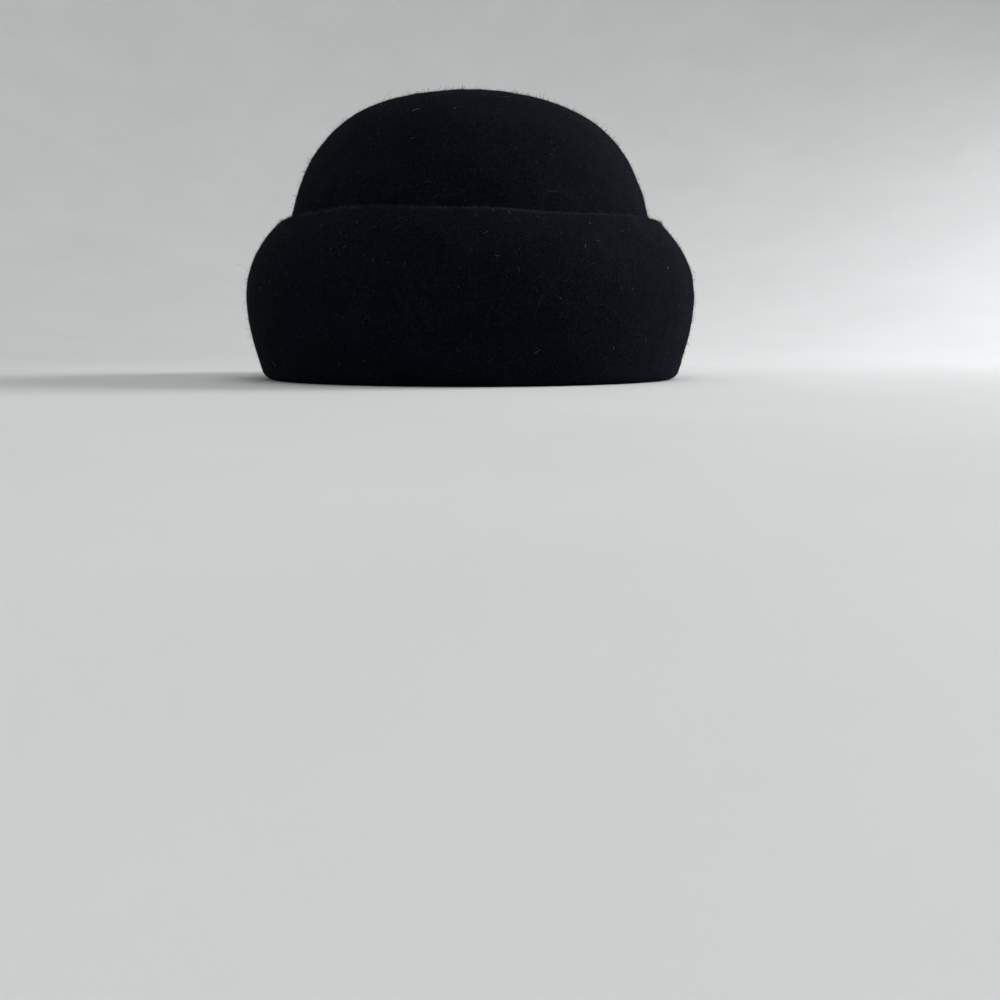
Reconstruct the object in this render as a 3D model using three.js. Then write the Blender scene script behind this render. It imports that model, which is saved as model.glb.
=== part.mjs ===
// Felt sailor hat: a deep oval crown, rolled at the head opening into a brim that is turned up
// all round as a tall cuff, and a cloth label sewn inside the crown at the back.
// Millimetres, +Z up. The hat stands on its rim with its front towards -Y, and the origin is
// the middle of the rim, on the ground.
import * as THREE from "three";

// Felt and head opening.
const FELT = 2.4; // thickness of the wall
const HEAD_LENGTH = 198; // opening inside, front to back
const HEAD_WIDTH = 162; // opening inside, side to side

// Crown, a rounded form between the head opening and its tip. The two powers set how upright
// its sides are and how flat its tip is: 2 and 2 would make it half an ellipse.
const CROWN_DEPTH = 117; // inside, from the ground to the tip
const SIDE_POWER = 2.95;
const TIP_POWER = 3.75;
const CROWN_LEAN = 2.2; // of the tip, towards -X
const LEAN_POWER = 8; // the higher it is, the nearer to the tip the lean stays

// Rolled rim under the head opening, flattened where the hat stands on it.
const ROLL_RADIUS = 5;
const ROLL_FLAT = 3;

// Turned-up brim: it leans out from the roll, swells, and turns in over the crown.
const CUFF_HEIGHT = 63; // at the front and back
const CUFF_SIDE_LIFT = 2.7; // how much higher the edge is at the sides
const CUFF_LIFT_DIFFERENCE = 1.5; // how much more of that there is at +X, and less at -X
const CUFF_SIDE_EASE = 1.3; // how much further out the edge is at the sides
const CUFF_WAVE = 1.2; // how much the edge rises at the front left and back right, and falls between
const CUFF_EDGE_OFFSET = 2.4; // outer face of the edge, out from the head opening
const CUFF_LEAN_OUT = 13; // degrees from upright, just above the roll
const CUFF_TURN_IN = 51.5; // degrees from upright, at the edge
const CUFF_LOWER_HANDLE = 21; // how far the lean carries up
const CUFF_UPPER_HANDLE = 28; // how far the turn carries down

// Label, sewn flat on the inside of the crown, a little turned.
const LABEL_WIDTH = 19.5;
const LABEL_RISE = 44; // height that it covers on the wall
const LABEL_FOOT = 46.5; // height of its lower edge above the ground
const LABEL_THICKNESS = 1;
const LABEL_GAP = 0.3; // between the label and the felt
const LABEL_FROM_BACK = 18; // degrees round from the back, towards +X
const LABEL_TURN = 5; // degrees, its lower end towards +X

// Facets.
const AROUND = 72;
const CROWN_STEPS = 16;
const CORNER_STEPS = 3;
const CUFF_STEPS = 9;
const EDGE_STEPS = 4;
const LABEL_COLUMNS = 6;
const LABEL_ROWS = 12;

// The section has the mean radius of the head opening, and is then pressed oval.
const HEAD_RADIUS = (HEAD_LENGTH + HEAD_WIDTH) / 4;
const OVAL_SHIFT = (HEAD_LENGTH - HEAD_WIDTH) / 4;

const { degToRad, radToDeg } = THREE.MathUtils;

// A point of the wall's section: distance from the hat's axis, height, and whether it is on the cuff.
const sectionPoint = (radius, height, onCuff = false) => ({ radius, height, onCuff });

// Points of an arc about a centre, from one angle to another in degrees.
function arc(centre, radius, from, to, steps, onCuff = false) {
  return Array.from({ length: steps + 1 }, (_, i) => {
    const angle = degToRad(from + ((to - from) * i) / steps);
    const x = centre.x + radius * Math.cos(angle);
    const y = centre.y + radius * Math.sin(angle);
    return sectionPoint(x, y, onCuff);
  });
}

// The crown's inner face at a turn from 0 at the ground to 90 degrees at the tip, moved out by an offset.
function crownPoint(turn, offset) {
  const share = turn >= 90 ? 0 : Math.cos(degToRad(turn)) ** (2 / SIDE_POWER);
  const rise = Math.sin(degToRad(turn)) ** (2 / TIP_POWER);
  const normal = new THREE.Vector2(
    (SIDE_POWER / HEAD_RADIUS) * share ** (SIDE_POWER - 1),
    (TIP_POWER / CROWN_DEPTH) * rise ** (TIP_POWER - 1),
  ).normalize();
  const radius = HEAD_RADIUS * share + offset * normal.x;
  const height = CROWN_DEPTH * rise + offset * normal.y;
  return sectionPoint(radius, height);
}

// A face of the crown from above the roll to the tip.
function crownFace(offset) {
  return Array.from({ length: CROWN_STEPS }, (_, i) =>
    crownPoint((90 * (i + 1)) / CROWN_STEPS, offset),
  );
}

// The roll's two corners: the inner one is under the crown's wall, the outer one under the cuff.
const innerCorner = new THREE.Vector2(HEAD_RADIUS + ROLL_RADIUS, ROLL_RADIUS);
const outerCorner = new THREE.Vector2(innerCorner.x + ROLL_FLAT, ROLL_RADIUS);

// A face of the roll from the crown to the cuff: the lower face, or with a smaller radius the upper one.
function rollFace(radius) {
  return [
    ...arc(innerCorner, radius, 180, 270, CORNER_STEPS),
    ...arc(outerCorner, radius, 270, 360 - CUFF_LEAN_OUT, CORNER_STEPS),
  ];
}

// The cuff's outer face as one curve from the roll to the edge.
function cuffCurve() {
  const lean = degToRad(CUFF_LEAN_OUT);
  const turn = degToRad(CUFF_TURN_IN);
  const start = new THREE.Vector2(Math.cos(lean), -Math.sin(lean));
  start.multiplyScalar(ROLL_RADIUS).add(outerCorner);
  const end = new THREE.Vector2(HEAD_RADIUS + CUFF_EDGE_OFFSET, CUFF_HEIGHT);
  const lower = new THREE.Vector2(Math.sin(lean), Math.cos(lean));
  lower.multiplyScalar(CUFF_LOWER_HANDLE).add(start);
  const upper = new THREE.Vector2(Math.sin(turn), -Math.cos(turn));
  upper.multiplyScalar(CUFF_UPPER_HANDLE).add(end);
  return new THREE.CubicBezierCurve(start, lower, upper, end);
}

// A point at a share of the cuff's curve, moved in towards the crown by an offset.
function cuffPoint(curve, share, offset) {
  const point = curve.getPoint(share);
  const tangent = curve.getTangent(share);
  return new THREE.Vector2(point.x - offset * tangent.y, point.y + offset * tangent.x);
}

// A face of the cuff from above the roll to the edge.
function cuffFace(curve, offset) {
  return Array.from({ length: CUFF_STEPS }, (_, i) => {
    const point = cuffPoint(curve, (i + 1) / CUFF_STEPS, offset);
    return sectionPoint(point.x, point.y, true);
  });
}

// The rounded edge of the brim, between the cuff's outer and inner faces.
function cuffEdge(curve) {
  const tangent = curve.getTangent(1);
  const facing = radToDeg(Math.atan2(-tangent.x, tangent.y));
  const centre = cuffPoint(curve, 1, FELT / 2);
  return arc(centre, FELT / 2, facing, facing + 180, EDGE_STEPS, true).slice(1, -1);
}

// The section of the whole wall, from the tip inside, round the brim, to the tip outside.
function wallSection() {
  const curve = cuffCurve();
  return [
    ...crownFace(0).reverse(),
    ...rollFace(ROLL_RADIUS),
    ...cuffFace(curve, 0),
    ...cuffEdge(curve),
    ...cuffFace(curve, FELT).reverse(),
    ...rollFace(ROLL_RADIUS - FELT).reverse(),
    ...crownFace(FELT),
  ];
}

// A point at a distance from the axis, turned round from the front towards +X, on the oval hat.
function ovalPoint(radius, height, angle) {
  const shift = OVAL_SHIFT * Math.min(1, radius / HEAD_RADIUS);
  const lean = CROWN_LEAN * (height / CROWN_DEPTH) ** LEAN_POWER;
  const x = (radius - shift) * Math.sin(angle) - lean;
  const y = -(radius + shift) * Math.cos(angle);
  return new THREE.Vector3(x, y, height);
}

// The felt wall: its section turned round the axis, pressed oval, with the cuff lifted at the sides.
function feltGeometry() {
  const section = wallSection();
  const outline = section.map((point) => new THREE.Vector2(point.radius, point.height));
  const geometry = new THREE.LatheGeometry(outline, AROUND);
  const position = geometry.getAttribute("position");
  for (let i = 0; i < position.count; i++) {
    const point = section[i % section.length];
    const angle = (2 * Math.PI * Math.floor(i / section.length)) / AROUND;
    const climb = point.onCuff ? (point.height / CUFF_HEIGHT) ** 2 : 0;
    const side = Math.sin(angle) ** 2;
    const lift = side * (CUFF_SIDE_LIFT + CUFF_LIFT_DIFFERENCE * Math.sin(angle));
    const wave = CUFF_WAVE * Math.sin(2 * angle);
    const radius = point.radius + climb * CUFF_SIDE_EASE * side;
    const height = point.height + climb * (lift - wave);
    position.setXYZ(i, ...ovalPoint(radius, height, angle));
  }
  return geometry;
}

// The crown's inner face at a height, moved in towards the head by an offset.
function innerWall(height, offset) {
  const turn = radToDeg(Math.asin((height / CROWN_DEPTH) ** (TIP_POWER / 2)));
  return crownPoint(turn, -offset);
}

// The label: a thin block, turned a little in its own plane and laid against the inner wall.
function labelGeometry() {
  const geometry = new THREE.BoxGeometry(
    LABEL_WIDTH,
    LABEL_RISE,
    LABEL_THICKNESS,
    LABEL_COLUMNS,
    LABEL_ROWS,
  );
  geometry.rotateZ(degToRad(LABEL_TURN));
  geometry.translate(0, LABEL_FOOT + LABEL_RISE / 2, LABEL_GAP + LABEL_THICKNESS / 2);
  const middle = Math.PI - degToRad(LABEL_FROM_BACK);
  const position = geometry.getAttribute("position");
  for (let i = 0; i < position.count; i++) {
    const wall = innerWall(position.getY(i), position.getZ(i));
    const halfWidth = (wall.radius * HEAD_WIDTH) / 2 / HEAD_RADIUS;
    const angle = middle - position.getX(i) / halfWidth;
    position.setXYZ(i, ...ovalPoint(wall.radius, wall.height, angle));
  }
  return geometry;
}

function piece(name, geometry, material) {
  const mesh = new THREE.Mesh(geometry, material);
  mesh.name = name;
  return mesh;
}

const blackFelt = new THREE.MeshStandardMaterial({ color: 0x0b0f14, roughness: 0.95, metalness: 0 });
const paleCloth = new THREE.MeshStandardMaterial({ color: 0xd6d3cd, roughness: 0.6, metalness: 0 });

const hat = new THREE.Group();
hat.add(piece("felt_body", feltGeometry(), blackFelt));
hat.add(piece("label", labelGeometry(), paleCloth));

export default hat;
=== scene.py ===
import math

import bpy
import numpy as np
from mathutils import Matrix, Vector


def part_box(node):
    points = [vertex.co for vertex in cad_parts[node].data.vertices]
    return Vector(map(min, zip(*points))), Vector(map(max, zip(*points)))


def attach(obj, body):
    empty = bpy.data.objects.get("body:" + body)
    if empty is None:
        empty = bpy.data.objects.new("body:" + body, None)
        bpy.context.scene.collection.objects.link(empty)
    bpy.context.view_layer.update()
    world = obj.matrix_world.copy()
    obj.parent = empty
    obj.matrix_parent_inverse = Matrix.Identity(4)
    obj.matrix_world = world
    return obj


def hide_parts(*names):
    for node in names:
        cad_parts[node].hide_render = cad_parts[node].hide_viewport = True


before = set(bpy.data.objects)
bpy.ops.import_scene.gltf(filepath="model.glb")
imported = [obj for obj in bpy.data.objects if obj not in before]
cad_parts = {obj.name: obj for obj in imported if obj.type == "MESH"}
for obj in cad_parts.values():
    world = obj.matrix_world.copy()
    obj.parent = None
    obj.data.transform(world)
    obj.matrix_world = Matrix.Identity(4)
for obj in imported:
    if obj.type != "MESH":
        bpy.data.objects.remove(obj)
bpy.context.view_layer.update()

MM = 0.001
SEED = 20

# Felt wall and head opening.
FELT = 2.4 * MM
HEAD_LENGTH = 198 * MM
HEAD_WIDTH = 162 * MM
HEAD_RADIUS = (HEAD_LENGTH + HEAD_WIDTH) / 4
OVAL_SHIFT = (HEAD_LENGTH - HEAD_WIDTH) / 4

# Crown: a rounded form, with the powers that make its sides upright and its tip flat.
CROWN_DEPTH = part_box("felt_body")[1][2] - FELT
SIDE_POWER = 2.95
TIP_POWER = 3.75
CROWN_LEAN = 2.2 * MM  # of the tip, towards -X
LEAN_POWER = 8  # the higher it is, the nearer to the tip the lean stays

# Rolled rim, flattened where the hat stands on it.
ROLL_RADIUS = 5 * MM
ROLL_FLAT = 3 * MM

# Turned-up brim: it leans out from the roll, swells, and turns in over the crown.
CUFF_HEIGHT = 63 * MM  # at the front and back
CUFF_SIDE_LIFT = 2.7 * MM  # how much higher the edge is at the sides
CUFF_LIFT_DIFFERENCE = 1.5 * MM  # more of the lift at +X, and less at -X
CUFF_SIDE_EASE = 1.3 * MM  # how much further out the edge is at the sides
CUFF_WAVE = 1.2 * MM  # how much the edge rises at the front left and back right, and falls between
CUFF_EDGE_OFFSET = 2.4 * MM  # outer face of the edge, out from the head opening
CUFF_LEAN_OUT = math.radians(13)  # just above the roll
CUFF_TURN_IN = math.radians(51.5)  # at the edge
CUFF_LOWER_HANDLE = 21 * MM  # how far the lean carries up
CUFF_UPPER_HANDLE = 28 * MM  # how far the turn carries down

# How far apart the felt's mesh points are.
STEPS_AROUND = 400
OUTSIDE_SPACING = 2.0 * MM
INSIDE_SPACING = 3.2 * MM
BEND_SPACING = 0.8 * MM
FINE_SAMPLES = 1500  # along a face before it is spaced out

# Unevenness of hand-blocked felt: wave length and depth of each layer.
UNEVEN_LAYERS = (
    dict(length=85 * MM, depth=0.20 * MM),
    dict(length=26 * MM, depth=0.12 * MM),
    dict(length=9 * MM, depth=0.06 * MM),
)
WAVES_PER_LAYER = 14
WAVE_RANGE = (0.7, 1.4)  # least and greatest wave length, as shares of a layer's own
SETTLED_HEIGHT = 12 * MM  # below this the felt settles towards the flat ground

# Cut edge of the brim: it is painted paler, partly as wear and partly as a painted highlight where light
# from above catches it, fading over this distance along the wall.
WEAR_AND_HIGHLIGHT_REACH = 2.4 * MM

# Fibres: three-sided strands, each with a cell of its own on a flat map.
FIBRE_SIDES = 3
FIBRE_CROSS = (0.42, 0.61, 0.67)  # a slanting direction that sets where a fibre's first side faces
CELL_MARGIN = 0.1  # of a cell's width, left free all round
LEAST_CLEARANCE = 0.03 * MM  # of any fibre above the ground

# Nap: short fibres that lie over the felt, fuzz, longer and more upright ones, and a few stray hairs.
# Lift is the least and greatest rise of a fibre for its run along the felt, and rise is how much it
# turns away from the felt at each step, or back to it where it is less than none. Sizes in millimetres.
NAP_KINDS = {
    "nap": dict(
        thickness=0.055, lift=(0.10, 1.30), rise=0.10, curl=0.9, spread=0.42, longest=3, steps=2,
    ),
    "fuzz": dict(
        thickness=0.100, lift=(0.50, 3.50), rise=0.50, curl=0.6, spread=0.50, longest=3, steps=3,
    ),
    "stray": dict(
        thickness=0.070, lift=(0.2, 1.2), rise=-0.16, curl=0.1, spread=0.35, longest=12, steps=9,
    ),
}
# How many fibres stand on each stretch of the wall, above a height, and their usual length.
NAP_ROWS = (
    dict(name="crown_nap", kind="nap", faces=["crown"], above=54, count=30000, length=0.7),
    dict(name="cuff_nap", kind="nap", faces=["cuff"], above=1, count=32000, length=0.7),
    # The edge nap is painted paler: pale cut fibres and a painted highlight.
    dict(name="edge_nap_with_highlight", kind="nap", faces=["cuff", "edge"], above=62, count=22000, length=0.8),
    dict(name="inside_nap", kind="nap", faces=["inside", "roll"], above=1, count=9000, length=0.6),
    dict(name="crown_fuzz", kind="fuzz", faces=["crown"], above=54, count=3600, length=1.0),
    dict(name="cuff_fuzz", kind="fuzz", faces=["cuff", "edge"], above=8, count=3200, length=0.85),
    dict(name="crown_strays", kind="stray", faces=["crown"], above=54, count=60, length=5.0),
    dict(name="cuff_strays", kind="stray", faces=["cuff"], above=14, count=90, length=6.0),
)
NAP_ROOT = 0.06 * MM  # how deep a fibre starts in the felt
TUFT_SIZE = 2.4 * MM  # of the small clumps in which the fibres go one way and are alike in length
TUFT_SPREAD = 0.35  # of a clump's length
TUFT_PULL = 0.9  # of a clump's direction against a fibre's own
TUFT_SCALE = 620  # of the noise that gives the clumps their tones

# Lint: pale loose fibres caught in the nap.
LINT_COUNT = 1300  # above each of these two heights
LINT_HIGH = 54 * MM
LINT_LOW = 1 * MM
LINT_STEPS = 6
LINT_LENGTH = 1.3 * MM
LINT_SPREAD = 0.55
LINT_CURL = 0.55  # radians at each step, at most
LINT_THICKNESS = 0.045 * MM
LINT_CLEARANCE = 0.12 * MM
LINT_ARCH = 0.25 * MM

# Label, sewn by its upper end to the inside of the crown.
LABEL_WIDTH = 19.5 * MM
LABEL_RISE = 44 * MM  # height that it covers on the wall
LABEL_FOOT = 46.5 * MM  # height of its lower edge above the ground
LABEL_CLOTH = 0.4 * MM
LABEL_GAP = 0.45 * MM
LABEL_SLACK = 0.25 * MM  # how much further off the wall its lower end is
LABEL_SLACK_SHARE = 0.6  # of its height, over which it comes away from the wall
LABEL_RIPPLE = 0.06 * MM
LABEL_RIPPLE_ACROSS = 5.2  # radians of a wave over its width
LABEL_RIPPLE_ALONG = 4.0  # radians of a wave over its height
LABEL_FROM_BACK = math.radians(18)  # round from the back, towards +X
LABEL_TURN = math.radians(5)  # its lower end towards +X
LABEL_CORNER = 2.2 * MM
LABEL_COLUMNS = 40
LABEL_ROWS = 90

# Stitches along the label's upper end.
STITCH_COUNT = 7
STITCH_STEPS = 11
STITCH_MARGIN = 1.5 * MM
STITCH_FROM_END = 1.8 * MM
STITCH_SHARE = 0.72  # of the distance from one stitch to the next
STITCH_THICKNESS = 0.4 * MM
STITCH_ARCH = 0.28 * MM
STITCH_SINK = 0.12 * MM

# Tones: places on a ramp from 0 to 1, with the colour at each.
FELT_TONES = (
    (0.34, (0.0008, 0.0018, 0.0035)),
    (0.54, (0.0024, 0.0041, 0.0070)),
    (0.76, (0.0070, 0.0103, 0.0158)),
    (1.00, (0.0210, 0.0265, 0.0345)),
)
NAP_TONES = (
    (0.10, (0.0006, 0.0013, 0.0028)),
    (0.55, (0.0028, 0.0048, 0.0079)),
    (0.80, (0.0132, 0.0180, 0.0250)),
    (1.00, (0.0590, 0.0700, 0.0850)),
)
# Paler copy of the nap's tones for the fibres at the cut edge: cut fibres are paler, and the rest is a
# painted highlight and glow of light from above catching them.
EDGE_PALE_AND_HIGHLIGHT_TONES = (
    (0.10, (0.0038, 0.0064, 0.0104)),
    (0.60, (0.0190, 0.0256, 0.0350)),
    (1.00, (0.0670, 0.0790, 0.0950)),
)
LINT_TONES = (
    (0.00, (0.010, 0.013, 0.016)),
    (0.55, (0.030, 0.034, 0.039)),
    (0.85, (0.110, 0.118, 0.126)),
    (0.98, (0.220, 0.230, 0.240)),
    (1.00, (0.560, 0.570, 0.580)),
)
LABEL_TONES = (
    (0.25, (0.47, 0.46, 0.43)),
    (0.75, (0.68, 0.67, 0.64)),
)
THREAD_TONES = (
    (0.2, (0.42, 0.41, 0.39)),
    (0.8, (0.64, 0.63, 0.60)),
)
SWEEP_TONES = (
    (0.3, (0.595, 0.600, 0.598)),
    (0.7, (0.625, 0.630, 0.628)),
)

# Camera: about as far away as the photograph's, and as low as the ground lets it be.
PICTURE_SIDE = 1000  # pixels
FOCAL_PIXELS = 1000
SENSOR = 36.0
CAMERA_DISTANCE = 470 * MM  # from the middle of the hat
CAMERA_HEIGHT = 15 * MM
CAMERA_AZIMUTH = math.radians(-0.6)
CAMERA_NEAREST = 10 * MM  # nearest thing that it shows
HAT_MIDDLE = Vector((0, 0, 58 * MM))
HAT_MIDDLE_PIXEL = (472, 249)  # where the middle of the hat is in the picture

# Stage: a floor that bends up all round into a wall.
SWEEP_FLAT = 0.5
SWEEP_BEND = 1.4
SWEEP_WALL = 0.8
SWEEP_BEND_STEPS = 24
SWEEP_STEPS_AROUND = 96

# Light: a broad soft one from above, a window to the right, and a pale sky.
LIGHTS = (
    dict(name="ceiling", place=(0.25, -0.35, 1.9), size=1.5, power=11.5, colour=(1.0, 0.99, 0.97)),
    dict(name="window", place=(1.25, 0.25, 0.75), size=0.8, power=20.0, colour=(0.97, 0.99, 1.0)),
)
SKY = dict(colour=(0.95, 0.98, 1.0), strength=0.42)


# Section of the felt wall

def unit(vectors):
    return vectors / np.linalg.norm(vectors, axis=-1, keepdims=True)


def distances_along(line):
    steps = np.linalg.norm(np.diff(line, axis=0), axis=1)
    return np.concatenate([[0.0], np.cumsum(steps)])


def spaced(line, spacing):
    """The same line with its points an even distance apart."""
    along = distances_along(line)
    count = max(2, round(along[-1] / spacing) + 1)
    places = np.linspace(0.0, along[-1], count)
    return np.column_stack([np.interp(places, along, column) for column in line.T])


def crown_line(turn, offset):
    """Radius and height of the crown's inner face, moved out by an offset, at turns of up to a quarter."""
    share = np.maximum(np.cos(turn), 0.0) ** (2 / SIDE_POWER)
    rise = np.sin(turn) ** (2 / TIP_POWER)
    out = SIDE_POWER / HEAD_RADIUS * share ** (SIDE_POWER - 1)
    up = TIP_POWER / CROWN_DEPTH * rise ** (TIP_POWER - 1)
    length = np.hypot(out, up)
    radius = HEAD_RADIUS * share + offset * out / length
    height = CROWN_DEPTH * rise + offset * up / length
    return np.column_stack([radius, height])


def turn_at(height):
    """The turn at which the crown's inner face has a height."""
    return np.arcsin((height / CROWN_DEPTH) ** (TIP_POWER / 2))


def crown_face(offset, spacing):
    """A face of the crown from above the roll to the tip."""
    turns = np.linspace(turn_at(ROLL_RADIUS + BEND_SPACING), math.pi / 2, FINE_SAMPLES)
    return spaced(crown_line(turns, offset), spacing)


def roll_arc(middle, radius, start, end):
    """An arc at the height of the roll's middle."""
    turn = np.linspace(start, end, FINE_SAMPLES)
    return np.column_stack([middle + radius * np.cos(turn), ROLL_RADIUS + radius * np.sin(turn)])


def roll_face(radius):
    """The roll from the crown to the cuff: the lower face, or with a smaller radius the upper one."""
    middle = HEAD_RADIUS + ROLL_RADIUS
    inner = roll_arc(middle, radius, math.pi, 1.5 * math.pi)
    outer = roll_arc(middle + ROLL_FLAT, radius, 1.5 * math.pi, 2 * math.pi - CUFF_LEAN_OUT)
    return spaced(np.vstack([inner, outer]), BEND_SPACING)


def cuff_line(offset):
    """The cuff's outer face, moved in towards the crown by an offset, from the roll to the edge."""
    lean = np.array([math.sin(CUFF_LEAN_OUT), math.cos(CUFF_LEAN_OUT)])
    fall = np.array([math.sin(CUFF_TURN_IN), -math.cos(CUFF_TURN_IN)])
    start = np.array([HEAD_RADIUS + ROLL_RADIUS + ROLL_FLAT, ROLL_RADIUS])
    start += ROLL_RADIUS * np.array([lean[1], -lean[0]])
    end = np.array([HEAD_RADIUS + CUFF_EDGE_OFFSET, CUFF_HEIGHT])
    lower = start + CUFF_LOWER_HANDLE * lean
    upper = end + CUFF_UPPER_HANDLE * fall
    done = np.linspace(0, 1, FINE_SAMPLES)[:, None]
    left = 1 - done
    line = left**3 * start + 3 * left**2 * done * lower + 3 * left * done**2 * upper + done**3 * end
    slope = left**2 * (lower - start) + 2 * left * done * (upper - lower) + done**2 * (end - upper)
    slope = unit(slope)
    return line + offset * np.column_stack([-slope[:, 1], slope[:, 0]])


def edge_line():
    """The rounded edge between the cuff's outer and inner faces."""
    outer = cuff_line(0)[-1]
    inner = cuff_line(FELT)[-1]
    middle = (outer + inner) / 2
    across = (outer - inner) / 2
    ahead = np.array([-across[1], across[0]])
    turn = np.linspace(0, math.pi, FINE_SAMPLES)[:, None]
    return spaced(middle + across * np.cos(turn) + ahead * np.sin(turn), BEND_SPACING / 2)


def wall_section():
    """The faces of the wall in order, from the tip inside, round the brim, to the tip outside."""
    return [
        ("inside", crown_face(0, INSIDE_SPACING)[::-1]),
        ("roll", roll_face(ROLL_RADIUS)),
        ("cuff", spaced(cuff_line(0), OUTSIDE_SPACING)[1:]),
        ("edge", edge_line()[1:-1]),
        ("cuff_back", spaced(cuff_line(FELT), INSIDE_SPACING)[:0:-1]),
        ("valley", roll_face(ROLL_RADIUS - FELT)[::-1]),
        ("crown", crown_face(FELT, OUTSIDE_SPACING)),
    ]


# Felt wall as a mesh

def make_object(name, points, faces, material):
    """A smooth mesh object from points and arrays of faces, each array with one number of corners."""
    mesh = bpy.data.meshes.new(name)
    loops = np.concatenate([part.ravel() for part in faces]).astype(np.int32)
    sizes = np.concatenate([np.full(len(part), part.shape[1]) for part in faces])
    starts = np.concatenate([[0], np.cumsum(sizes)[:-1]]).astype(np.int32)
    mesh.vertices.add(len(points))
    mesh.vertices.foreach_set("co", np.asarray(points, np.float32).ravel())
    mesh.loops.add(len(loops))
    mesh.loops.foreach_set("vertex_index", loops)
    mesh.polygons.add(len(starts))
    mesh.polygons.foreach_set("loop_start", starts)
    mesh.update(calc_edges=True)
    mesh.polygons.foreach_set("use_smooth", np.ones(len(starts), bool))
    mesh.materials.append(material)
    made = bpy.data.objects.new(name, mesh)
    bpy.context.scene.collection.objects.link(made)
    return made


def lay_out(made, name, places):
    """Gives a piece a flat map, from arrays of places in the order of its face corners."""
    layer = made.data.uv_layers.new(name=name)
    flat = np.concatenate([part.reshape(-1, 2) for part in places])
    layer.data.foreach_set("uv", flat.astype(np.float32).ravel())


def oval(radius, height, angle):
    """Points at a distance from the axis, turned round from the front towards +X, on the oval hat."""
    shift = OVAL_SHIFT * np.minimum(1.0, radius / HEAD_RADIUS)
    x = (radius - shift) * np.sin(angle) - CROWN_LEAN * (height / CROWN_DEPTH) ** LEAN_POWER
    y = -(radius + shift) * np.cos(angle)
    return np.stack([x, y, np.broadcast_to(height, x.shape)], axis=-1)


def slow_waves(points, length, random):
    """A smooth random push for each point, about one unit deep, made of plane waves."""
    push = np.zeros_like(points)
    for axis in range(3):
        for _ in range(WAVES_PER_LAYER):
            way = unit(random.normal(size=3)) / (length * random.uniform(*WAVE_RANGE))
            push[:, axis] += np.sin(2 * math.pi * (points @ way + random.uniform()))
    return push / math.sqrt(WAVES_PER_LAYER / 2)


def hand_blocked(points, random):
    """The points with the slight unevenness of felt shaped by hand, and level on the ground."""
    moved = points.copy()
    for layer in UNEVEN_LAYERS:
        moved += layer["depth"] * slow_waves(points, layer["length"], random)
    settle = np.clip(points[:, 2] / SETTLED_HEIGHT, 0, 1)
    moved[:, 2] = points[:, 2] + settle * (moved[:, 2] - points[:, 2])
    return moved


def felt_grid(section, names):
    """Points of the felt wall by row of the section and step round the hat."""
    on_cuff = np.array([name in ("cuff", "edge", "cuff_back") for name in names])
    angle = np.linspace(0, 2 * math.pi, STEPS_AROUND, endpoint=False)
    radius = section[:, :1]
    height = section[:, 1:]
    climb = np.where(on_cuff[:, None], (height / CUFF_HEIGHT) ** 2, 0.0)
    side = np.sin(angle) ** 2
    lift = side * (CUFF_SIDE_LIFT + CUFF_LIFT_DIFFERENCE * np.sin(angle))
    lifted = height + climb * (lift - CUFF_WAVE * np.sin(2 * angle))
    eased = radius + climb * CUFF_SIDE_EASE * side
    return oval(eased, lifted, angle[None, :])


def felt_faces(rows):
    """Quads between the rows, and fans at the two tips, which are the first and last points."""
    step = np.arange(STEPS_AROUND)
    after = (step + 1) % STEPS_AROUND
    low = 1 + np.arange(rows - 1)[:, None] * STEPS_AROUND
    high = low + STEPS_AROUND
    quads = np.stack([low + step, low + after, high + after, high + step], -1).reshape(-1, 4)
    last = 1 + (rows - 1) * STEPS_AROUND
    tip_out = last + STEPS_AROUND
    inner = np.column_stack([np.zeros_like(step), 1 + after, 1 + step])
    outer = np.column_stack([np.full_like(step, tip_out), last + step, last + after])
    return [quads, inner, outer]


def felt_map(along):
    """The wall laid flat: once round the hat to the right, and along its section upwards."""
    step = np.arange(STEPS_AROUND) / STEPS_AROUND
    after = step + 1 / STEPS_AROUND
    between = (step + after) / 2
    low, right = np.meshgrid(along[1:-2], step, indexing="ij")
    high, right_after = np.meshgrid(along[2:-1], after, indexing="ij")
    quads = [(right, low), (right_after, low), (right_after, high), (right, high)]
    first, second, next_to_last, last = (np.full_like(step, along[row]) for row in (0, 1, -2, -1))
    inner = [(between, first), (after, second), (step, second)]
    outer = [(between, last), (step, next_to_last), (after, next_to_last)]
    return [np.stack([np.stack(corner, -1) for corner in part], -2) for part in (quads, inner, outer)]


def mark_wear_and_highlight(felt, along, names):
    """Gives each point of the felt its wear and painted highlight, which are full at the cut edge and fade
    along the wall.
    """
    edge = np.mean([place for place, name in zip(along, names) if name == "edge"])
    wear_and_highlight = np.exp(-((along - edge) / WEAR_AND_HIGHLIGHT_REACH) ** 2)
    by_point = np.concatenate([wear_and_highlight[:1], np.repeat(wear_and_highlight[1:-1], STEPS_AROUND), wear_and_highlight[-1:]])
    layer = felt.data.attributes.new("wear_and_highlight", "FLOAT", "POINT")
    layer.data.foreach_set("value", by_point.astype(np.float32))


def make_felt(material):
    """The felt piece, and its points by row and step with the name of each row's face."""
    faces = wall_section()
    names = [name for name, line in faces for _ in line]
    section = np.vstack([line for _, line in faces])
    grid = felt_grid(section, names)
    points = np.vstack([grid[0, :1], grid[1:-1].reshape(-1, 3), grid[-1, :1]])
    points = hand_blocked(points, np.random.default_rng(SEED))
    rows = len(names) - 2
    felt = make_object("felt", points, felt_faces(rows), material)
    along = distances_along(section)
    lay_out(felt, "OFBake", felt_map(along / along[-1]))
    mark_wear_and_highlight(felt, along, names)
    return felt, points[1:-1].reshape(rows, STEPS_AROUND, 3), names[1:-1]


# Nap and lint

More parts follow.
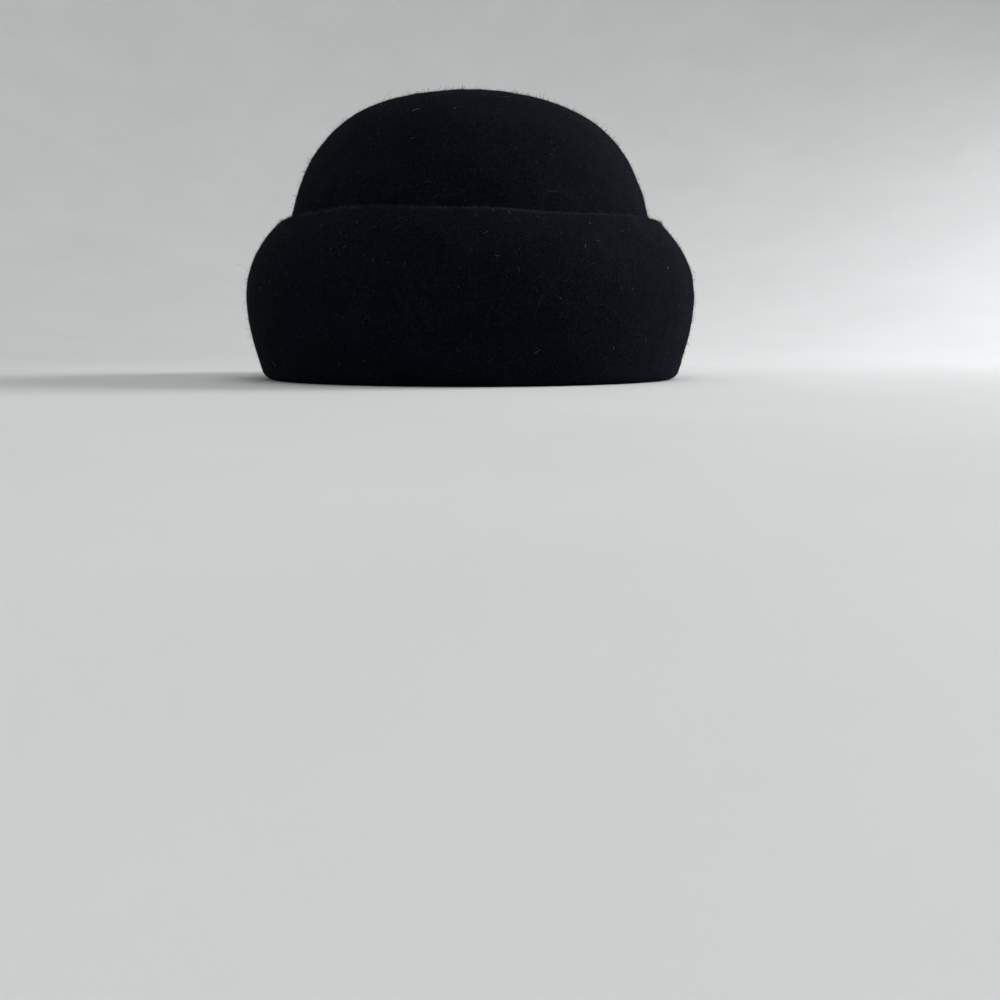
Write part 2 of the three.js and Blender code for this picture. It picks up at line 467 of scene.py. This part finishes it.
def surface_samples(grid, names, faces, above, count, random):
    """Random places on the named faces above a height, evenly spread, with the outward direction there."""
    heights = grid[:, :, 2].mean(axis=1)
    rows = [row for row in range(len(names) - 1) if names[row] in faces and heights[row] > above]
    near_row = grid[rows]
    far_row = grid[[row + 1 for row in rows]]
    near = near_row.reshape(-1, 3)
    near_after = np.roll(near_row, -1, axis=1).reshape(-1, 3)
    far = far_row.reshape(-1, 3)
    far_after = np.roll(far_row, -1, axis=1).reshape(-1, 3)
    normal = np.cross(near_after - near, far - near)
    area = np.linalg.norm(normal, axis=1)
    pick = random.choice(len(near), count, p=area / area.sum())
    across = random.random((count, 1))
    along = random.random((count, 1))
    low = (1 - across) * near[pick] + across * near_after[pick]
    high = (1 - across) * far[pick] + across * far_after[pick]
    return (1 - along) * low + along * high, normal[pick] / area[pick, None]


def fibre_faces(rings):
    """Triangles and quads of one fibre. A corner has its point's number and its place on a flat map."""
    tip = 1 + FIBRE_SIDES * rings
    last = tip - FIBRE_SIDES
    height = 1 / (rings + 1)
    triangles = []
    quads = []
    for side in range(FIBRE_SIDES):
        beside = (side + 1) % FIBRE_SIDES
        left = side / FIBRE_SIDES
        right = (side + 1) / FIBRE_SIDES
        middle = (left + right) / 2
        triangles.append([(0, middle, 0), (1 + beside, right, height), (1 + side, left, height)])
        for ring in range(rings - 1):
            low = 1 + FIBRE_SIDES * ring
            high = low + FIBRE_SIDES
            base = (ring + 1) * height
            top = (ring + 2) * height
            lower = [(low + side, left, base), (low + beside, right, base)]
            quads.append(lower + [(high + beside, right, top), (high + side, left, top)])
        lower = [(last + side, left, 1 - height), (last + beside, right, 1 - height)]
        triangles.append(lower + [(tip, middle, 1)])
    return [np.array(part) for part in (triangles, quads) if part]


def make_fibres(name, paths, thickness, material):
    """Closed fibres, pointed at both ends. Paths has the points of each fibre in a row."""
    count, steps = paths.shape[:2]
    ahead = unit(paths[:, 2:] - paths[:, :-2])
    side = unit(np.cross(ahead, FIBRE_CROSS))
    up = np.cross(ahead, side)
    turn = (2 * math.pi / FIBRE_SIDES * np.arange(FIBRE_SIDES))[:, None]
    spokes = side[:, :, None] * np.cos(turn) + up[:, :, None] * np.sin(turn)
    rings = paths[:, 1:-1, None] + spokes * thickness / 2
    points = np.concatenate([paths[:, :1], rings.reshape(count, -1, 3), paths[:, -1:]], axis=1)
    points[:, :, 2] = np.maximum(points[:, :, 2], LEAST_CLEARANCE)
    corners = fibre_faces(steps - 2)
    start = (np.arange(count) * points.shape[1])[:, None, None]
    faces = [(start + part[:, :, 0].astype(int)).reshape(-1, part.shape[1]) for part in corners]
    made = make_object(name, points.reshape(-1, 3), faces, material)
    columns = math.ceil(math.sqrt(count))
    cell = np.stack([np.arange(count) % columns, np.arange(count) // columns], -1)[:, None, None]
    filled = 1 - 2 * CELL_MARGIN
    lay_out(made, "OFBake", [(cell + CELL_MARGIN + filled * part[:, :, 1:]) / columns for part in corners])
    return made


def along_surface(vectors, normal):
    """The vectors with what points out of the surface taken away, at unit length."""
    return unit(vectors - normal * np.sum(vectors * normal, axis=-1, keepdims=True))


def make_nap(row, grid, names, material, random):
    """One row of the nap: fibres that start in the felt and bend as they go."""
    kind = NAP_KINDS[row["kind"]]
    count = row["count"]
    place, normal = surface_samples(grid, names, row["faces"], row["above"] * MM, count, random)
    tuft = slow_waves(place, TUFT_SIZE, random)
    run = along_surface(random.normal(size=(count, 3)) + TUFT_PULL * tuft, normal)
    way = unit(run + normal * random.uniform(*kind["lift"], (count, 1)))
    bend = kind["curl"] * unit(random.normal(size=(count, 3))) + kind["rise"] * normal
    spread = kind["spread"] * random.normal(size=(count, 1)) + TUFT_SPREAD * tuft[:, :1]
    length = np.minimum(row["length"] * MM * np.exp(spread), kind["longest"] * MM)
    paths = [place - normal * NAP_ROOT]
    for _ in range(kind["steps"]):
        paths.append(paths[-1] + way * length / kind["steps"])
        way = unit(way + bend)
    return make_fibres(row["name"], np.stack(paths, axis=1), kind["thickness"] * MM, material)


def make_lint(grid, names, material, random):
    """Loose fibres that lie curled along the nap outside."""
    place, normal = surface_samples(grid, names, ("cuff", "crown"), LINT_HIGH, LINT_COUNT, random)
    low, low_normal = surface_samples(grid, names, ("cuff",), LINT_LOW, LINT_COUNT, random)
    place = np.concatenate([place, low])
    normal = np.concatenate([normal, low_normal])
    count = len(place)
    run = along_surface(random.normal(size=(count, 3)), normal)
    across = np.cross(normal, run)
    length = LINT_LENGTH * np.exp(LINT_SPREAD * random.normal(size=(count, 1)))
    curl = random.uniform(-LINT_CURL, LINT_CURL, (count, 1))
    arch = LINT_ARCH * random.random((count, 1))
    paths = []
    for step in range(LINT_STEPS):
        turn = curl * step
        height = LINT_CLEARANCE + arch * math.sin(math.pi * step / (LINT_STEPS - 1))
        paths.append(place + normal * height)
        place = place + (run * np.cos(turn) + across * np.sin(turn)) * length / (LINT_STEPS - 1)
    return make_fibres("lint", np.stack(paths, axis=1), LINT_THICKNESS, material)


# Label

def label_points(across, along, offset):
    """Points of the label: across from its middle, along from its foot, and off the inner wall."""
    middle = LABEL_RISE / 2
    x = across * math.cos(LABEL_TURN) - (along - middle) * math.sin(LABEL_TURN)
    z = across * math.sin(LABEL_TURN) + (along - middle) * math.cos(LABEL_TURN)
    wall = crown_line(turn_at(LABEL_FOOT + middle + z), -offset)
    half_width = wall[:, 0] * HEAD_WIDTH / 2 / HEAD_RADIUS
    angle = math.pi - LABEL_FROM_BACK - x / half_width
    return oval(wall[:, 0], wall[:, 1], angle)


def label_grid():
    """Across and along places of a rectangle whose lower corners are rounded."""
    columns = np.linspace(-1, 1, LABEL_COLUMNS + 1) * LABEL_WIDTH / 2
    rows = np.linspace(0, 1, LABEL_ROWS + 1) * LABEL_RISE
    along, across = np.meshgrid(rows, columns, indexing="ij")
    into_corner = np.maximum(0, np.abs(across) - (LABEL_WIDTH / 2 - LABEL_CORNER)) / LABEL_CORNER
    foot = LABEL_CORNER * (1 - np.sqrt(1 - np.minimum(into_corner, 1) ** 2))
    return across.ravel(), (foot + along * (1 - foot / LABEL_RISE)).ravel()


def label_faces():
    """Faces of the label's front, back and edge. The back's points follow the front's."""
    columns = LABEL_COLUMNS + 1
    count = columns * (LABEL_ROWS + 1)
    row, column = np.meshgrid(np.arange(LABEL_ROWS), np.arange(LABEL_COLUMNS), indexing="ij")
    corner = (row * columns + column).ravel()
    front = np.column_stack([corner, corner + 1, corner + columns + 1, corner + columns])
    rim = np.concatenate([
        np.arange(LABEL_COLUMNS),
        LABEL_COLUMNS + columns * np.arange(LABEL_ROWS),
        count - 1 - np.arange(LABEL_COLUMNS),
        columns * np.arange(LABEL_ROWS, 0, -1),
    ])
    after = np.roll(rim, -1)
    edge = np.column_stack([rim, rim + count, after + count, after])
    return [front, front[:, ::-1] + count, edge]


def make_label(material):
    """The cloth label: flat on the wall above, and a little slack and rippled below."""
    across, along = label_grid()
    slack = np.clip(1 - along / (LABEL_SLACK_SHARE * LABEL_RISE), 0, 1) ** 2
    wave = across / LABEL_WIDTH * LABEL_RIPPLE_ACROSS + along / LABEL_RISE * LABEL_RIPPLE_ALONG
    lift = LABEL_GAP + LABEL_SLACK * slack + LABEL_RIPPLE * np.sin(wave)
    front = label_points(across, along, lift + LABEL_CLOTH)
    back = label_points(across, along, lift)
    faces = label_faces()
    label = make_object("cloth_label", np.vstack([front, back]), faces, material)
    flat = np.column_stack([across, along])
    lay_out(label, "cloth", [np.vstack([flat, flat])[part] for part in faces])
    return label


def make_stitches(material):
    """Short thread stitches in a row along the label's upper end, each sunk at its ends."""
    pitch = (LABEL_WIDTH - 2 * STITCH_MARGIN) / STITCH_COUNT
    share = np.linspace(0, 1, STITCH_STEPS)
    along = np.full(STITCH_STEPS, LABEL_RISE - STITCH_FROM_END)
    height = LABEL_GAP + LABEL_CLOTH - STITCH_SINK + STITCH_ARCH * np.sin(math.pi * share)
    paths = []
    for index in range(STITCH_COUNT):
        middle = -LABEL_WIDTH / 2 + STITCH_MARGIN + (index + 0.5) * pitch
        across = middle + (share - 0.5) * pitch * STITCH_SHARE
        paths.append(label_points(across, along, height))
    return make_fibres("label_stitches", np.stack(paths), STITCH_THICKNESS, material)


# Materials

class Surface:
    """A node material with short ways to add and link its nodes."""

    def __init__(self, name):
        self.material = bpy.data.materials.new(name)
        self.material.use_nodes = True
        self.tree = self.material.node_tree
        self.shader = self.tree.nodes["Principled BSDF"]
        self.place = self.tree.nodes.new("ShaderNodeTexCoord")

    def set(self, **values):
        for name, value in values.items():
            self.shader.inputs[name.replace("_", " ")].default_value = value

    def feed(self, value, socket):
        if isinstance(value, bpy.types.NodeSocket):
            self.tree.links.new(value, socket)
        else:
            socket.default_value = value

    def paint(self, name, value):
        self.feed(value, self.shader.inputs[name])

    def node(self, kind, values, **settings):
        made = self.tree.nodes.new("ShaderNode" + kind)
        for name, value in settings.items():
            setattr(made, name, value)
        for name, value in values.items():
            self.feed(value, made.inputs[name])
        return made

    def noise(self, scale, detail, roughness=0.5, distortion=0.0):
        values = {"Vector": self.place.outputs["Object"], "Scale": scale, "Detail": detail}
        values.update({"Roughness": roughness, "Distortion": distortion})
        return self.node("TexNoise", values).outputs["Fac"]

    def bands(self, place, direction, pitch, distortion):
        """Soft stripes across a direction, a pitch apart."""
        values = {"Vector": self.place.outputs[place], "Scale": math.pi / 10 / pitch}
        values["Distortion"] = distortion
        return self.node("TexWave", values, bands_direction=direction).outputs["Fac"]

    def each_island(self):
        """A random value for each fibre."""
        return self.node("NewGeometry", {}).outputs["Random Per Island"]

    def work_out(self, operation, first, second=0.0):
        made = self.node("Math", {}, operation=operation)
        self.feed(first, made.inputs[0])
        self.feed(second, made.inputs[1])
        return made.outputs["Value"]

    def blend(self, *shares):
        """The sum of values, each times its share."""
        total = 0.0
        for value, share in shares:
            total = self.work_out("ADD", total, self.work_out("MULTIPLY", value, share))
        return total

    def ramp(self, factor, tones):
        """A colour ramp: tones are pairs of a place and a colour."""
        made = self.node("ValToRGB", {"Fac": factor})
        elements = made.color_ramp.elements
        while len(elements) < len(tones):
            elements.new(0.5)
        for element, (place, colour) in zip(elements, tones):
            element.position = place
            element.color = (*colour, 1)
        return made.outputs["Color"]

    def remap(self, factor, low, high, to_low, to_high):
        values = {"Value": factor, "From Min": low, "From Max": high, "To Min": to_low, "To Max": to_high}
        return self.node("MapRange", values).outputs["Result"]

    def bump(self, height, distance, strength):
        made = self.node("Bump", {"Height": height, "Distance": distance, "Strength": strength})
        self.paint("Normal", made.outputs["Normal"])

    def thin_lines(self, scale, width):
        """Curly thread-like lines: where a smooth noise passes its middle value."""
        field = self.noise(scale, detail=2.0, roughness=0.55, distortion=0.8)
        away = self.work_out("ABSOLUTE", self.work_out("SUBTRACT", field, 0.5))
        return self.remap(away, low=0.0, high=width, to_low=1.0, to_high=0.0)


def felt_material():
    """Black felt: mottled and grainy, with threads in it, and paler at the cut edge, more so here and
    there, partly as wear and partly as a painted highlight.
    """
    surface = Surface("black_felt")
    mottle = surface.noise(scale=70, detail=4, roughness=0.6)
    grain = surface.noise(scale=1900, detail=1)
    coarse = surface.thin_lines(scale=520, width=0.03)
    fine = surface.thin_lines(scale=800, width=0.035)
    threads = surface.work_out("MAXIMUM", coarse, fine)
    # The cut edge is painted paler: partly wear, partly a painted highlight of light from above catching
    # it.
    edge = surface.node("Attribute", {}, attribute_name="wear_and_highlight").outputs["Fac"]
    patches = surface.remap(mottle, low=0.35, high=0.65, to_low=0.6, to_high=1.5)
    wear_and_highlight = surface.work_out("MULTIPLY", edge, patches)
    tone = surface.blend((mottle, 0.22), (grain, 0.78), (threads, 0.20), (wear_and_highlight, 0.42))
    surface.paint("Base Color", surface.ramp(tone, FELT_TONES))
    surface.paint("Roughness", surface.remap(grain, low=0.3, high=0.7, to_low=0.98, to_high=0.86))
    surface.bump(surface.blend((grain, 0.7), (threads, 0.4)), distance=0.5 * MM, strength=0.8)
    surface.set(Specular_IOR_Level=0.02)
    surface.set(Sheen_Weight=0.004, Sheen_Roughness=0.4, Sheen_Tint=(0.70, 0.86, 1.0, 1))
    return surface.material


def nap_material(name, tones):
    """Fibres with a tone of their own and of their clump, from mostly dark ones to a few pale ones."""
    surface = Surface(name)
    own = surface.each_island()
    clump_noise = surface.noise(TUFT_SCALE, detail=2, roughness=0.6)
    clump = surface.remap(clump_noise, low=0.35, high=0.65, to_low=0.0, to_high=1.0)
    surface.paint("Base Color", surface.ramp(surface.blend((own, 0.6), (clump, 0.4)), tones))
    surface.set(Roughness=0.85, Specular_IOR_Level=0.02)
    return surface.material


def lint_material():
    surface = Surface("pale_lint")
    surface.paint("Base Color", surface.ramp(surface.each_island(), LINT_TONES))
    surface.set(Roughness=0.85, Specular_IOR_Level=0.2)
    return surface.material


def label_material():
    """Pale woven cloth, a little soiled."""
    surface = Surface("label_cloth")
    warp = surface.bands("UV", "X", pitch=0.30 * MM, distortion=0.4)
    weft = surface.bands("UV", "Y", pitch=0.24 * MM, distortion=0.4)
    weave = surface.blend((warp, 0.4), (weft, 0.6))
    soil = surface.noise(scale=120, detail=4, roughness=0.6)
    surface.paint("Base Color", surface.ramp(surface.blend((weave, 0.45), (soil, 0.55)), LABEL_TONES))
    surface.paint("Roughness", surface.remap(weave, low=0.0, high=1.0, to_low=0.62, to_high=0.48))
    surface.bump(weave, distance=0.04 * MM, strength=0.5)
    surface.set(Sheen_Weight=0.15, Sheen_Roughness=0.4)
    return surface.material


def thread_material():
    surface = Surface("label_thread")
    twist = surface.bands("Object", "DIAGONAL", pitch=0.35 * MM, distortion=1.0)
    surface.paint("Base Color", surface.ramp(twist, THREAD_TONES))
    surface.bump(twist, distance=0.05 * MM, strength=0.5)
    surface.set(Roughness=0.6)
    return surface.material


def sweep_material():
    surface = Surface("pale_sweep")
    surface.paint("Base Color", surface.ramp(surface.noise(scale=9, detail=5, roughness=0.6), SWEEP_TONES))
    surface.set(Roughness=0.75, Specular_IOR_Level=0.2)
    return surface.material


# Stage, light and camera

def make_sweep(material):
    """A pale floor that curves up all round into a wall."""
    turn = np.linspace(0, math.pi / 2, SWEEP_BEND_STEPS)
    bend = SWEEP_FLAT + SWEEP_BEND * np.sin(turn)
    radius = np.concatenate([[SWEEP_FLAT / 4, SWEEP_FLAT / 2], bend, bend[-1:]])
    height = np.concatenate([[0, 0], SWEEP_BEND * (1 - np.cos(turn)), [SWEEP_BEND + SWEEP_WALL]])
    angle = np.linspace(0, 2 * math.pi, SWEEP_STEPS_AROUND, endpoint=False)
    x = radius[:, None] * np.cos(angle)
    y = radius[:, None] * np.sin(angle)
    z = np.broadcast_to(height[:, None], x.shape)
    points = np.vstack([[[0, 0, 0]], np.stack([x, y, z], -1).reshape(-1, 3)])
    step = np.arange(SWEEP_STEPS_AROUND)
    after = (step + 1) % SWEEP_STEPS_AROUND
    near = 1 + np.arange(len(radius) - 1)[:, None] * SWEEP_STEPS_AROUND
    far = near + SWEEP_STEPS_AROUND
    quads = np.stack([near + step, far + step, far + after, near + after], -1).reshape(-1, 4)
    middle = np.column_stack([np.zeros_like(step), 1 + step, 1 + after])
    make_object("floor", points, [quads, middle], material)


def make_light(row):
    """A round light that faces the hat."""
    data = bpy.data.lights.new(row["name"], "AREA")
    data.shape = "DISK"
    data.size = row["size"]
    data.energy = row["power"]
    data.color = row["colour"]
    light = bpy.data.objects.new(row["name"], data)
    light.location = row["place"]
    light.rotation_euler = (HAT_MIDDLE - light.location).to_track_quat("-Z", "Y").to_euler()
    bpy.context.scene.collection.objects.link(light)


def make_sky():
    world = bpy.data.worlds.new("sky")
    world.use_nodes = True
    background = world.node_tree.nodes["Background"]
    background.inputs["Color"].default_value = (*SKY["colour"], 1)
    background.inputs["Strength"].default_value = SKY["strength"]
    bpy.context.scene.world = world


def make_camera():
    """A camera in front of the hat, turned so that the hat's middle falls on its pixel."""
    data = bpy.data.cameras.new("camera")
    data.sensor_width = SENSOR
    data.lens = SENSOR * FOCAL_PIXELS / PICTURE_SIDE
    data.clip_start = CAMERA_NEAREST
    camera = bpy.data.objects.new("camera", data)
    drop = HAT_MIDDLE.z - CAMERA_HEIGHT
    away = math.sqrt(CAMERA_DISTANCE**2 - drop**2)
    camera.location = (away * math.sin(CAMERA_AZIMUTH), -away * math.cos(CAMERA_AZIMUTH), CAMERA_HEIGHT)
    right = math.atan((HAT_MIDDLE_PIXEL[0] - PICTURE_SIDE / 2) / FOCAL_PIXELS)
    above = math.atan((PICTURE_SIDE / 2 - HAT_MIDDLE_PIXEL[1]) / FOCAL_PIXELS)
    pitch = math.atan2(drop, away) - above
    camera.rotation_euler = (math.pi / 2 + pitch, 0, CAMERA_AZIMUTH + right)
    bpy.context.scene.collection.objects.link(camera)
    bpy.context.scene.camera = camera


# The scene

make_camera()
make_sky()
make_sweep(sweep_material())
for row in LIGHTS:
    make_light(row)

felt, felt_points, felt_names = make_felt(felt_material())
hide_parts("felt_body")
nap = nap_material("felt_nap", NAP_TONES)
# Paler nap for the cut edge, partly a painted highlight.
edge_nap_with_highlight = nap_material("felt_edge_nap_with_highlight", EDGE_PALE_AND_HIGHLIGHT_TONES)
random = np.random.default_rng(SEED + 1)
felt_pieces = [felt]
for row in NAP_ROWS:
    material = edge_nap_with_highlight if row["name"] == "edge_nap_with_highlight" else nap
    felt_pieces.append(make_nap(row, felt_points, felt_names, material, random))
felt_pieces.append(make_lint(felt_points, felt_names, lint_material(), random))

label = make_label(label_material())
stitches = make_stitches(thread_material())
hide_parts("label")

for slot, pieces in (("felt", felt_pieces), ("label_cloth", [label, stitches])):
    for piece in pieces:
        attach(piece, "root")

bpy.context.scene.view_settings.view_transform = "Standard"
